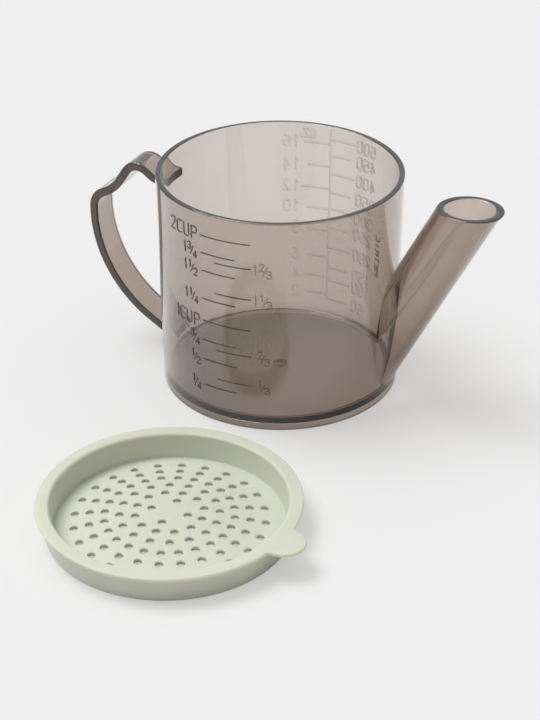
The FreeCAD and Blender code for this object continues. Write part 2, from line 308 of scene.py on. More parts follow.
def carved(name, body, steps):
    """The body after each (operation, tool) Boolean in turn, as a new object; body and tools go."""
    for operation, tool in steps:
        cut = body.modifiers.new("cut", "BOOLEAN")
        cut.solver = "MANIFOLD"
        cut.operation = operation
        cut.object = tool
    bpy.context.view_layer.update()
    depsgraph = bpy.context.evaluated_depsgraph_get()
    mesh = bpy.data.meshes.new_from_object(body.evaluated_get(depsgraph))
    mesh.name = name
    used = {body} | {tool for operation, tool in steps}
    for item in used:
        bpy.data.objects.remove(item)
    made = bpy.data.objects.new(name, mesh)
    bpy.context.scene.collection.objects.link(made)
    return made


def true_normals(item, surfaces, sharp=math.radians(32)):
    """Shades each face corner on a known surface with that surface's exact normal.

    A surface is a function from points to (distance to the surface, outward normal). A face counts as
    lying on it when all its corners are nearer than 0.01 mm and it looks the same way. Elsewhere the
    normals of the faces round a corner are averaged by area, except across edges sharper than the angle.
    """
    item.data.shade_smooth()
    item.data.set_sharp_from_angle(angle=sharp)
    weighted = item.modifiers.new("weighted", "WEIGHTED_NORMAL")
    weighted.mode = "FACE_AREA"
    weighted.keep_sharp = True
    bpy.context.view_layer.update()
    depsgraph = bpy.context.evaluated_depsgraph_get()
    mesh = bpy.data.meshes.new_from_object(item.evaluated_get(depsgraph))
    item.modifiers.clear()
    item.data = mesh
    corners = np.empty(len(mesh.loops), np.int32)
    mesh.loops.foreach_get("vertex_index", corners)
    points = np.empty(len(mesh.vertices) * 3)
    mesh.vertices.foreach_get("co", points)
    points = points.reshape(-1, 3) / MM
    starts = np.empty(len(mesh.polygons), np.int32)
    totals = np.empty(len(mesh.polygons), np.int32)
    flat = np.empty(len(mesh.polygons) * 3)
    mesh.polygons.foreach_get("loop_start", starts)
    mesh.polygons.foreach_get("loop_total", totals)
    mesh.polygons.foreach_get("normal", flat)
    flat = np.repeat(flat.reshape(-1, 3), totals, 0)
    place = points[corners]
    normals = np.empty(len(mesh.loops) * 3)
    mesh.corner_normals.foreach_get("vector", normals)
    normals = normals.reshape(-1, 3)
    for surface in surfaces:
        distance, outward = surface(place)
        near = (np.abs(distance) < 0.01) & (np.einsum("ij,ij->i", flat, outward) > 0.4)
        whole = np.repeat(np.minimum.reduceat(near.astype(int), starts), totals).astype(bool)
        normals[whole] = outward[whole]
    mesh.normals_split_custom_set(normals.tolist())


def cone_surface(low_radius, low, high_radius, high, side):
    """Distance and normal of a cone wall about Z; side is 1 for an outside wall, -1 for an inside one."""
    slope = (high_radius - low_radius) / (high - low)
    tilt = math.hypot(1, slope)

    def surface(points):
        radius = np.maximum(np.hypot(points[:, 0], points[:, 1]), 1e-6)
        level = (points[:, 2] > low - 0.01) & (points[:, 2] < high + 0.01)
        distance = np.where(level, radius - low_radius - slope * (points[:, 2] - low), 9.0)
        normal = np.stack([points[:, 0] / radius, points[:, 1] / radius,
                           np.full(len(points), -slope)], 1)
        return distance, side * normal / tilt
    return surface


def rod_surface(foot, direction, size, side):
    """Distance and normal of a slanting round rod; side as for the cone."""
    foot = np.array(foot)
    direction = np.array(direction)

    def surface(points):
        reach = points - foot
        reach = reach - (reach @ direction)[:, None] * direction
        radius = np.maximum(np.linalg.norm(reach, axis=1), 1e-6)
        return radius - size, side * reach / radius[:, None]
    return surface


# Stroke letters in a box one wide and one high: (points with corner rounding, closed or open)
R = 0.42
LETTERS = {
    "0": [([(0, 0, R), (1, 0, R), (1, 1, R), (0, 1, R)], True)],
    "1": [([(0.25, 0.78, 0), (0.62, 1, 0), (0.62, 0, 0)], False)],
    "2": [([(0, 0.78, 0), (0, 1, R), (1, 1, R), (1, 0.62, 0.2), (0, 0, 0), (1, 0, 0)], False)],
    "3": [([(0, 0.84, 0), (0, 1, 0.3), (0.96, 1, R), (0.96, 0.55, R), (0.4, 0.55, 0)], False),
          ([(0.5, 0.55, 0), (1, 0.55, R), (1, 0, R), (0, 0, 0.3), (0, 0.18, 0)], False)],
    "4": [([(0.74, 0, 0), (0.74, 1, 0)], False),
          ([(0.74, 1, 0), (0, 0.3, 0), (1, 0.3, 0)], False)],
    "5": [([(0.95, 1, 0), (0.1, 1, 0), (0.02, 0.52, 0), (0.4, 0.62, 0.3), (1, 0.62, R), (1, 0, R),
            (0, 0, 0.3), (0, 0.16, 0)], False)],
    "6": [([(0.9, 1, 0), (0, 0.86, 0.5), (0, 0.3, 0)], False),
          ([(0, 0, R), (1, 0, R), (1, 0.58, R), (0, 0.58, R)], True)],
    "8": [([(0, 0, R), (1, 0, R), (1, 0.55, R), (0, 0.55, R)], True),
          ([(0.08, 0.55, R), (0.92, 0.55, R), (0.92, 1, R), (0.08, 1, R)], True)],
    "C": [([(1, 0.92, 0), (0.8, 1, 0.3), (0, 1, R), (0, 0, R), (0.8, 0, 0.3), (1, 0.08, 0)], False)],
    "U": [([(0, 1, 0), (0, 0, R), (1, 0, R), (1, 1, 0)], False)],
    "P": [([(0, 0, 0), (0, 1, 0)], False),
          ([(0, 1, 0), (1, 1, R), (1, 0.47, R), (0, 0.47, 0)], False)],
    "O": [([(0, 0, R), (1, 0, R), (1, 1, R), (0, 1, R)], True)],
    "Z": [([(0, 1, 0), (1, 1, 0), (0, 0, 0), (1, 0, 0)], False)],
    "M": [([(0, 0, 0), (0, 1, 0), (0.5, 0.4, 0), (1, 1, 0), (1, 0, 0)], False)],
    "E": [([(1, 1, 0), (0, 1, 0), (0, 0, 0), (1, 0, 0)], False),
          ([(0, 0.52, 0), (0.8, 0.52, 0)], False)],
    "T": [([(0, 1, 0), (1, 1, 0)], False), ([(0.5, 1, 0), (0.5, 0, 0)], False)],
    "R": [([(0, 0, 0), (0, 1, 0)], False),
          ([(0, 1, 0), (1, 1, R), (1, 0.5, R), (0, 0.5, 0)], False),
          ([(0.5, 0.5, 0), (1, 0, 0)], False)],
    "I": [([(0.5, 0, 0), (0.5, 1, 0)], False)],
    ".": [([(0.1, 0, 0), (0.2, 0, 0)], False)],
}
# Cross section of a raised stroke: (share of half width, share of height), the foot inside the wall
STROKE_SECTION = np.array([(1, None), (0.96, 0.5), (0.88, 0.9), (0.76, 1.0),
                           (-0.76, 1.0), (-0.88, 0.9), (-0.96, 0.5), (-1, None)], dtype=object)
# Turns of the sections that round off an open end, and the least cosine a bend is widened by
END_TURNS = np.radians([12, 45, 75])
MITER_LIMIT = 0.45


def spaced(line, step, closed):
    """The line with extra points, so that no run between neighbours is longer than the step."""
    if closed:
        line = np.concatenate([line, line[:1]])
    runs = np.linalg.norm(np.diff(line, axis=0), axis=1)
    line = line[np.concatenate([[True], runs > 1e-4])]
    runs = runs[runs > 1e-4]
    travel = np.concatenate([[0], np.cumsum(runs)])
    pieces = [np.linspace(travel[i], travel[i + 1], max(1, math.ceil(run / step)), endpoint=False)
              for i, run in enumerate(runs)]
    where = np.concatenate(pieces + ([] if closed else [travel[-1:]]))
    return np.stack([np.interp(where, travel, line[:, k]) for k in range(2)], 1)


def stroke(line, width, closed, lift, angle, step=1.2):
    """A raised stroke on the wall: its section carried along the line, with rounded ends.

    A point at (u, z) with height h above the wall sits at the angle base + u / radius and at the
    radius wall radius(z) + h. Near an open end the section narrows and sinks like the end of a loaf.
    """
    line = spaced(line, step, closed)
    half = width / 2
    shrink = np.ones(len(line))
    if closed:
        ahead = np.roll(line, -1, 0) - line
        behind = line - np.roll(line, 1, 0)
    else:
        ahead = np.concatenate([np.diff(line, axis=0), line[-1:] - line[-2:-1]])
        behind = np.concatenate([ahead[:1], np.diff(line, axis=0)])
    ahead = ahead / np.linalg.norm(ahead, axis=1)[:, None]
    behind = behind / np.linalg.norm(behind, axis=1)[:, None]
    along = ahead + behind
    along /= np.linalg.norm(along, axis=1)[:, None]
    miter = 1 / np.maximum(np.einsum("ij,ij->i", along, ahead), MITER_LIMIT)
    side = np.stack([-along[:, 1], along[:, 0]], 1) * miter[:, None]
    if not closed:
        bulge = np.sin(END_TURNS)
        reach = half * np.cos(END_TURNS)
        head = line[0] - along[0] * reach[:, None]
        tail = line[-1] + along[-1] * reach[::-1, None]
        line = np.concatenate([head, line, tail])
        side = np.concatenate([np.repeat(side[:1], 3, 0), side, np.repeat(side[-1:], 3, 0)])
        shrink = np.concatenate([bulge, shrink, bulge[::-1]])
    share = np.array([row[0] for row in STROKE_SECTION], float)
    rise = np.array([-MARK_SINK if row[1] is None else row[1] * lift for row in STROKE_SECTION])
    flat = line[:, None] + side[:, None] * (share * half)[None, :, None] * shrink[:, None, None]
    height = np.where(rise > 0, rise * (0.4 + 0.6 * shrink[:, None]), rise)
    radius = wall_radius(flat[:, :, 1]) + height
    theta = math.radians(angle) + flat[:, :, 0] / WALL_U
    grid = np.stack([radius * np.cos(theta), radius * np.sin(theta), flat[:, :, 1]], 2)
    return skin(grid, ring=closed)


def letters(layers, text, u, z, size, pitch, width, angle, upright=True):
    """Adds the strokes of a text whose first letter's lower left corner is at (u, z).

    Overlapping strokes of one letter go to different layers, so each layer is free of crossings.
    """
    for place, letter in enumerate(text):
        for layer, (corners, closed) in enumerate(LETTERS[letter]):
            line = rounded_line([(x * size[0], y * size[1], r * size[0]) for x, y, r in corners],
                                0.35, closed, True)
            if upright:
                line = line + (u + place * pitch, z)
            else:
                line = np.stack([u - line[:, 1], z + place * pitch + line[:, 0]], 1)
            layers[layer].append(stroke(line, width, closed, MARK_RAISE * (1 - 0.05 * layer), angle))


def level_line(layers, layer, u_from, u_to, z, width, angle):
    """Adds one raised level line of a scale."""
    line = np.array([(u_from, z), (u_to, z)])
    layers[layer].append(stroke(line, width, False, MARK_RAISE, angle))


def fraction(layers, u, z, whole, top, bottom):
    """Adds a fraction label beside a line at height z: whole digit, raised top digit, slash, low digit."""
    for digit, (right, up, size) in ((whole, WHOLE_DIGIT), (top, TOP_DIGIT), (bottom, LOW_DIGIT)):
        letters(layers, digit, u + right, z + up, size, 0, FRONT_WIDTH, 0)
    slash = np.array([(u + right, z + up) for right, up in SLASH])
    layers[2].append(stroke(slash, FRONT_WIDTH, False, MARK_RAISE * 0.9, 0))


def scale_marks():
    """Layers of raised strokes: the cup scale in front, the ounce and millilitre scales behind."""
    layers = [[], [], []]
    left = math.radians(CUP_SCALE_FROM) * WALL_U
    right = math.radians(CUP_SCALE_TO) * WALL_U
    third = math.radians(THIRD_LINES_FROM) * WALL_U
    quarter = math.radians(QUARTER_LINES_TO) * WALL_U
    for z, count, shift, drop in CUP_LINES:
        level_line(layers, 0, left, right, z, FRONT_WIDTH, 0)
        foot = z - CUP_LETTER[1] / 2 - drop
        letters(layers, count, COUNT_U + shift, foot, CUP_LETTER, 0, FRONT_WIDTH, 0)
        letters(layers, "CUP", CUP_WORD_U, foot, CUP_LETTER, CUP_PITCH, FRONT_WIDTH, 0)
    for z, *label in QUARTER_LINES:
        level_line(layers, 0, left, quarter, z, FRONT_WIDTH, 0)
        fraction(layers, QUARTER_LABEL_U, z, *label)
    for z, *label in THIRD_LINES:
        level_line(layers, 0, third, right, z, FRONT_WIDTH, 0)
        fraction(layers, LONG_THIRD_LABEL_U if label[0] else THIRD_LABEL_U, z, *label)
    spine = np.array([(0, SPINE_FROM), (0, SPINE_TO)])
    layers[0].append(stroke(spine, SPINE_WIDTH, False, MARK_RAISE, SPINE_ANGLE, 4))
    for index, z in enumerate(OUNCE_HEIGHTS):
        level_line(layers, 1, 0, OUNCE_LENGTHS[index], z, BACK_WIDTH, SPINE_ANGLE)
        letters(layers, str(2 * index + 2), OUNCE_LABEL_U, z - OUNCE_LETTER[1] / 2, OUNCE_LETTER,
                OUNCE_PITCH, BACK_LETTER_WIDTH, SPINE_ANGLE)
    for index, z in enumerate(ML_HEIGHTS):
        end = math.radians(ML_LONG_ARC if index % 2 else ML_SHORT_ARC) * WALL_U
        level_line(layers, 2, -end, 0, z, BACK_WIDTH, SPINE_ANGLE)
        text = str(50 * index + 50)
        letters(layers, text, ML_LABEL_U - ML_PITCH * (len(text) - 1), z - ML_LETTER[1] / 2, ML_LETTER,
                ML_PITCH, BACK_LETTER_WIDTH, SPINE_ANGLE)
    letters(layers, "OZ.", 7.0, 82.6, (1.9, 3.5), 2.75, BACK_LETTER_WIDTH, SPINE_ANGLE)
    letters(layers, "METRIC", -27.6, 31.3, (2.2, 3.0), 3.2, BACK_LETTER_WIDTH, SPINE_ANGLE,
            upright=False)
    return layers


def strap_grid():
    """The handle: a rounded rectangle carried square along the strap's centre line."""
    line = spaced(rounded_line(STRAP_CORNERS, 0.5), 3.0, False)
    ahead = np.gradient(line, axis=0)
    ahead /= np.linalg.norm(ahead, axis=1)[:, None]
    outward = np.stack([-ahead[:, 1], ahead[:, 0]], 1)
    half_w = STRAP_WIDTH / 2
    half_t = STRAP_THICKNESS / 2
    section = rounded_line([(-half_w, -half_t, STRAP_EDGE_ROUND), (half_w, -half_t, STRAP_EDGE_ROUND),
                            (half_w, half_t, STRAP_EDGE_ROUND), (-half_w, half_t, STRAP_EDGE_ROUND)],
                           0.2, True)
    section = spaced(section, 2.0, True)
    x = line[:, 0, None] + outward[:, 0, None] * section[:, 1]
    z = line[:, 1, None] + outward[:, 1, None] * section[:, 1]
    return np.stack([x, 0 * x + section[:, 0], z], 2)


def wall_plug(name, inset, segments):
    """A cutting tool that fills the tapered wall's outer face, less an inset, and runs past both ends."""
    profile = np.array([(0.5, PLUG_FROM), (wall_radius(PLUG_FROM) - inset, PLUG_FROM),
                        (wall_radius(PLUG_TO) - inset, PLUG_TO), (0.5, PLUG_TO)])
    return solid(name, [skin(turned(profile, segments))])


def make_cup():
    """The clear moulding in one skin: wall, spout, strap and raised marks, less the spout's bore."""
    arc = 0.12
    outside = rounded_line([
        (0.8, FLOOR_UNDERSIDE - 0.35, 0), (GATE_RADIUS, FLOOR_UNDERSIDE - GATE_DROP, 0.4),
        (GATE_RADIUS, FLOOR_UNDERSIDE, 0.4),
        (FOOT_INNER_RADIUS, FLOOR_UNDERSIDE, 0.5), (FOOT_INNER_RADIUS, 0, 0.3),
        (FOOT_RADIUS, 0, 0.6), *[(wall_radius(z), z, 0) for z in np.arange(3, 88, 2.8)],
        (RIM_RADIUS, CUP_HEIGHT, 0.7), (MOUTH_RADIUS, CUP_HEIGHT, 0.7), (MOUTH_RADIUS, SEAT_HEIGHT, 0),
        (CAVITY_FLOOR_RADIUS, FLOOR_TOP, FLOOR_CORNER), (1.0, FLOOR_TOP, 0),
    ], arc)
    cup = solid("cup", [skin(turned(outside, 360))])
    core = wall_plug("core", CORE_INSET, 180)
    envelope = wall_plug("envelope", ENVELOPE_INSET, 360)
    tube_levels = [(0, 0, 0), (SPOUT_TOP - SPOUT_LIP_DEPTH, 0, 0)]
    bore_levels = [(0, 0, 0)]
    for turn in np.linspace(0, math.pi / 2, 7):
        height = SPOUT_TOP - SPOUT_LIP_ROUND * (1 - math.sin(turn))
        inset = SPOUT_LIP_ROUND * (1 - math.cos(turn))
        flare = SPOUT_LIP_FLARE / 2 * (1 - (SPOUT_TOP - height) / SPOUT_LIP_DEPTH)
        tube_levels.append((height, flare - inset, flare))
        bore_levels.append((height, inset, 0))
    bore_levels.append((SPOUT_TOP + 0.5, SPOUT_LIP_ROUND + 0.5, 0))
    tube = solid("tube", [skin(leaning_tube(tube_levels, SPOUT_RADIUS))])
    bore = solid("bore", [skin(leaning_tube(bore_levels, BORE_RADIUS))])
    window = solid("window", [skin(leaning_tube([(FLOOR_TOP + FLOOR_CORNER, 0, 0), (INLET_TOP, 0, 0)],
                                                BORE_RADIUS))])
    strap = solid("strap", [skin(strap_grid())])
    core_two = core.copy()
    bpy.context.scene.collection.objects.link(core_two)
    tube = carved("tube", tube, [("DIFFERENCE", core)])
    strap = carved("strap", strap, [("DIFFERENCE", core_two)])
    bore = carved("bore", bore, [("DIFFERENCE", envelope)])
    steps = [("UNION", tube), ("UNION", strap), ("DIFFERENCE", bore), ("DIFFERENCE", window)]
    for layer in scale_marks():
        steps.append(("UNION", solid("marks", layer)))
    cup = carved("cup_moulding", cup, steps)
    foot = (SPOUT_AXIS_AT_TABLE, 0, 0)
    direction = (math.sin(SPOUT_TILT), 0, math.cos(SPOUT_TILT))
    true_normals(cup, [
        cone_surface(FOOT_RADIUS, 0, RIM_RADIUS, CUP_HEIGHT, 1),
        cone_surface(CAVITY_FLOOR_RADIUS, FLOOR_TOP, MOUTH_RADIUS, SEAT_HEIGHT, -1),
        cone_surface(MOUTH_RADIUS, SEAT_HEIGHT, MOUTH_RADIUS, CUP_HEIGHT, -1),
        rod_surface(foot, direction, SPOUT_RADIUS, 1),
        rod_surface(foot, direction, BORE_RADIUS, -1),
    ])
    return cup


def paint_shade_on_faces(cup):
    """Writes painted shade for each face into the mesh, as the colour attribute that the plastic reads.

    A face belongs to a mark when its middle stands out from the wall by more than a hair, and to a
    mark's flank when its normal leans well away from the wall's. Painted dark are the front marks on the
    left, the back marks' flanks, the unit word behind and the side of the gate mark; the labels on the
    right get a grey painted shade, and the strap and the spout a lighter one.
    """
    mesh = cup.data
    middle = np.empty(len(mesh.polygons) * 3)
    normal = np.empty(len(mesh.polygons) * 3)
    totals = np.empty(len(mesh.polygons), np.int32)
    mesh.polygons.foreach_get("center", middle)
    mesh.polygons.foreach_get("normal", normal)
    mesh.polygons.foreach_get("loop_total", totals)
    x, y, z = middle.reshape(-1, 3).T / MM
    radius = np.hypot(x, y)
    raised = (radius - wall_radius(z) > MARK_STANDS_OUT) & (z > MARKS_FROM) & (z < MARKS_TO)
    angle = np.degrees(np.arctan2(y, x))
    lean = (normal.reshape(-1, 3)[:, 0] * x + normal.reshape(-1, 3)[:, 1] * y) / radius
    front = raised & (angle > FRONT_MARKS_FROM) & (angle < FRONT_MARKS_TO)
    back = raised & (np.abs(angle - BACK_MARKS_MIDDLE) < BACK_MARKS_SPREAD)
    flank = back & ((lean < FLANK_LEAN) | (angle < UNIT_WORD_TO))
    gate = (radius < GATE_RADIUS + 0.2) & (lean > 0.3) & (z < FLOOR_UNDERSIDE + 0.1)
    label = raised & (angle >= FRONT_MARKS_TO) & (angle < PALE_LABELS_TO)
    strap = x < -RIM_RADIUS - 0.5
    spout = x > RIM_RADIUS + 0.5
    # Painted shade: near black on the marks and the gate's side, grey on the labels on the right, a little
    # darker on the strap and the spout
    which = np.select([front | flank | gate, label, strap, spout], [1, 2, 3, 4], 0)
    shade_colours = np.array([(1, 1, 1, 1), MARK_PAINTED_SHADE, LABEL_PAINTED_SHADE, STRAP_PAINTED_SHADE, SPOUT_PAINTED_SHADE], np.float32)
    attribute = mesh.color_attributes.new("tone", "FLOAT_COLOR", "CORNER")
    attribute.data.foreach_set("color", np.repeat(shade_colours[which], totals, 0).ravel())


def plate_outline(radius, tab_radius, tab_reach, neck):
    """The flange's circle with the thumb tab along +X, joined by two concave neck arcs."""
    tab_centre = radius + tab_reach - tab_radius
    to_flange = radius + neck
    to_tab = tab_radius + neck
    neck_x = (to_flange ** 2 - to_tab ** 2 + tab_centre ** 2) / (2 * tab_centre)
    neck_y = math.sqrt(to_flange ** 2 - neck_x ** 2)
    flange_angle = math.atan2(neck_y, neck_x)
    tab_angle = math.atan2(neck_y, neck_x - tab_centre)
    round_flange = np.linspace(flange_angle, 2 * math.pi - flange_angle, 300)
    low_neck = np.linspace(math.pi - flange_angle, -tab_angle + math.pi, 14)[1:-1]
    round_tab = np.linspace(-tab_angle, tab_angle, 60)
    high_neck = np.linspace(math.pi + tab_angle, math.pi + flange_angle, 14)[1:-1]
    pieces = [(0, 0, radius, round_flange), (neck_x, -neck_y, neck, low_neck),
              (tab_centre, 0, tab_radius, round_tab), (neck_x, neck_y, neck, high_neck)]
    return np.concatenate([np.stack([x + r * np.cos(a), y + r * np.sin(a)], 1) for x, y, r, a in pieces])


def plate_grid(outline, thickness, edge):
    """The plate's outline shrunk inwards along its normals by the rounded edge's own profile."""
    ahead = np.roll(outline, -1, 0) - np.roll(outline, 1, 0)
    normal = np.stack([ahead[:, 1], -ahead[:, 0]], 1)
    normal /= np.linalg.norm(normal, axis=1)[:, None]
    angles = np.linspace(0, math.pi / 2, 7)
    inset = edge * (1 - np.sin(angles))
    drop = edge * (1 - np.cos(angles))
    inset = np.concatenate([inset, inset[::-1]])
    height = np.concatenate([drop, thickness - drop[::-1]])
    rings = outline[None] - normal[None] * inset[:, None, None]
    return np.concatenate([rings, np.broadcast_to(height[:, None, None], rings.shape[:2] + (1,))], 2)


def hole_grids(dome_centre, dome_radius):
    """A pin for every hole, flared at both ends so that the hole's rims come out softly rounded."""
    grids = []
    for ring, count in HOLE_RINGS:
        top = dome_centre + math.sqrt(dome_radius ** 2 - ring ** 2)
        under = dome_centre + math.sqrt((dome_radius - STRAINER_THICKNESS) ** 2 - ring ** 2)
        flare = 0.16
        profile = np.array([
            (HOLE_RADIUS + 1.2, under - 1.5), (HOLE_RADIUS + flare, under - 0.02),
            (HOLE_RADIUS + 0.05, under + 0.1), (HOLE_RADIUS, under + 0.22),
            (HOLE_RADIUS, top - 0.3), (HOLE_RADIUS + 0.05, top - 0.12),
            (HOLE_RADIUS + flare, top + 0.01), (HOLE_RADIUS + 1.2, top + 0.8)])
        for step in range(count):
            angle = math.radians(HOLE_PATTERN_ANGLE + 360 * step / count)
            grids.append(skin(turned(profile, 28, (ring * math.cos(angle), ring * math.sin(angle)))))
    return grids


def make_lid():
    """The strainer lid: skirt and flange less the hollow, the space under the dome and the holes."""
    dome_radius = (SKIRT_INNER_FOOT ** 2 + DOME_RISE ** 2) / (2 * DOME_RISE)
    dome_centre = STRAINER_THICKNESS + DOME_RISE - dome_radius
    body = solid("body", [skin(turned(rounded_line([
        (1, 0.0, 0), (SKIRT_FOOT_RADIUS, 0.0, 0.9), (SKIRT_RADIUS, LID_HEIGHT - 0.4, 0),
        (1, LID_HEIGHT - 0.4, 0)], 0.12), 300))])
    outline = plate_outline(FLANGE_RADIUS, TAB_RADIUS, TAB_REACH, TAB_NECK_ROUND)
    plate_points = plate_grid(outline, FLANGE_THICKNESS, FLANGE_EDGE_ROUND)
    plate_points[:, :, 2] += LID_HEIGHT - FLANGE_THICKNESS
    plate = solid("plate", [skin(plate_points)])
    across = np.linspace(0.6, SKIRT_INNER_FOOT - 0.8, 30)
    dome = np.stack([across, dome_centre + np.sqrt(dome_radius ** 2 - across ** 2)], 1)
    wall = rounded_line([
        (dome[-1, 0], dome[-1, 1], 0), (SKIRT_INNER_FOOT, STRAINER_THICKNESS, FLOOR_FILLET),
        (SKIRT_INNER_TOP, LID_HEIGHT, 1.2), (SKIRT_INNER_TOP + 2.5, LID_HEIGHT + 0.01, 0),
        (SKIRT_INNER_TOP + 2.5, LID_HEIGHT + 3, 0), (1, LID_HEIGHT + 3, 0)], 0.12)
    hollow = solid("hollow", [skin(turned(np.concatenate([dome, wall[1:]]), 300))])
    inner = dome_radius - STRAINER_THICKNESS
    edge = math.sqrt(inner ** 2 - dome_centre ** 2)
    under_across = np.linspace(0.6, edge, 24)
    under_height = dome_centre + np.sqrt(np.maximum(inner ** 2 - under_across ** 2, 0))
    under = np.stack([under_across, under_height], 1)
    under = np.concatenate([under, [(edge + 0.3, -1.0), (0.6, -1.0)]])
    below = solid("below", [skin(turned(under, 300))])
    holes = solid("holes", hole_grids(dome_centre, dome_radius))
    lid = carved("strainer_lid_dressed", body, [("UNION", plate), ("DIFFERENCE", hollow),
                                                ("DIFFERENCE", below), ("DIFFERENCE", holes)])
    turn = math.radians(TAB_ANGLE)
    lid.data.transform(Matrix.Translation((LID_X * MM, LID_Y * MM, 0)) @ Matrix.Rotation(turn, 4, "Z"))
    true_normals(lid, [])
    return lid


def node_tree(name):
    """A new material with an empty node tree."""
    material = bpy.data.materials.new(name)
    material.use_nodes = True
    material.node_tree.nodes.clear()
    return material, material.node_tree


def moulded_surface_group():
    """Group: fine unevenness of a moulded surface. Puts out a value around one half and a normal."""
    group = bpy.data.node_groups.new("moulded_surface", "ShaderNodeTree")
    group.interface.new_socket("Vector", in_out="INPUT", socket_type="NodeSocketVector")
    for name, value in (("Ripple Scale", 60.0), ("Grain Scale", 1500.0), ("Ripple", 0.1), ("Grain", 0.1)):
        socket = group.interface.new_socket(name, in_out="INPUT", socket_type="NodeSocketFloat")
        socket.default_value = value
    group.interface.new_socket("Variation", in_out="OUTPUT", socket_type="NodeSocketFloat")
    group.interface.new_socket("Normal", in_out="OUTPUT", socket_type="NodeSocketVector")
    nodes = group.nodes
    link = group.links.new
    inputs = nodes.new("NodeGroupInput")
    outputs = nodes.new("NodeGroupOutput")
    ripple = nodes.new("ShaderNodeTexNoise")
    ripple.inputs["Detail"].default_value = 2
    grain = nodes.new("ShaderNodeTexNoise")
    grain.inputs["Detail"].default_value = 3
    first = nodes.new("ShaderNodeBump")
    first.inputs["Distance"].default_value = 0.0004
    second = nodes.new("ShaderNodeBump")
    second.inputs["Distance"].default_value = 0.00005
    link(inputs.outputs["Vector"], ripple.inputs["Vector"])
    link(inputs.outputs["Vector"], grain.inputs["Vector"])
    link(inputs.outputs["Ripple Scale"], ripple.inputs["Scale"])
    link(inputs.outputs["Grain Scale"], grain.inputs["Scale"])
    link(inputs.outputs["Ripple"], first.inputs["Strength"])
    link(inputs.outputs["Grain"], second.inputs["Strength"])
    link(ripple.outputs["Fac"], first.inputs["Height"])
    link(grain.outputs["Fac"], second.inputs["Height"])
    link(first.outputs["Normal"], second.inputs["Normal"])
    link(ripple.outputs["Fac"], outputs.inputs["Variation"])
    link(second.outputs["Normal"], outputs.inputs["Normal"])
    return group


def placed_group(tree, group, **values):
    """The group in a material, on Object coordinates, with its own values."""
    place = tree.nodes.new("ShaderNodeTexCoord")
    node = tree.nodes.new("ShaderNodeGroup")
    node.node_tree = group
    tree.links.new(place.outputs["Object"], node.inputs["Vector"])
    for name, value in values.items():
        node.inputs[name.replace("_", " ")].default_value = value
    return node


def smoky_clear(group):
    """Polished see-through plastic: tinted by absorption inside the wall, and by painted shade at the
    surface.

    The painted shade comes from the mesh: white on the body, and darker on the marks, the strap and the
    spout, for the dark that refraction and reflection give them.
    """
    material, tree = node_tree("smoky_clear_plastic_polished")
    nodes = tree.nodes
    link = tree.links.new
    glass = nodes.new("ShaderNodeBsdfPrincipled")
    # Painted shade: the mesh's face colour darkens the marks, the strap and the spout
    tone = nodes.new("ShaderNodeVertexColor")
    tone.layer_name = "tone"
    link(tone.outputs["Color"], glass.inputs["Base Color"])
    glass.inputs["Transmission Weight"].default_value = 1.0
    glass.inputs["IOR"].default_value = 1.55
    glass.inputs["Coat Weight"].default_value = 0.5
    glass.inputs["Coat IOR"].default_value = 1.5
    glass.inputs["Coat Roughness"].default_value = 0.1
    surface = placed_group(tree, group, Ripple_Scale=45.0, Grain_Scale=900.0, Ripple=0.06, Grain=0.03)
    polish = nodes.new("ShaderNodeMapRange")
    polish.inputs["From Min"].default_value = 0.3
    polish.inputs["From Max"].default_value = 0.7
    polish.inputs["To Min"].default_value = 0.0
    polish.inputs["To Max"].default_value = 0.03
    link(surface.outputs["Variation"], polish.inputs["Value"])
    link(polish.outputs["Result"], glass.inputs["Roughness"])
    link(surface.outputs["Normal"], glass.inputs["Normal"])
    clear = nodes.new("ShaderNodeBsdfTransparent")
    clear.inputs["Color"].default_value = PLASTIC_SHADOW_TINT
    path = nodes.new("ShaderNodeLightPath")
    either = nodes.new("ShaderNodeMath")
    either.operation = "MAXIMUM"
    mix = nodes.new("ShaderNodeMixShader")
    output = nodes.new("ShaderNodeOutputMaterial")
    link(path.outputs["Is Shadow Ray"], either.inputs[0])
    link(path.outputs["Is Diffuse Ray"], either.inputs[1])
    link(either.outputs[0], mix.inputs["Fac"])
    link(glass.outputs[0], mix.inputs[1])
    link(clear.outputs[0], mix.inputs[2])
    link(mix.outputs[0], output.inputs["Surface"])
    tint = nodes.new("ShaderNodeVolumeAbsorption")
    tint.inputs["Color"].default_value = PLASTIC_TINT
    tint.inputs["Density"].default_value = PLASTIC_TINT_DENSITY
    link(tint.outputs[0], output.inputs["Volume"])
    return material


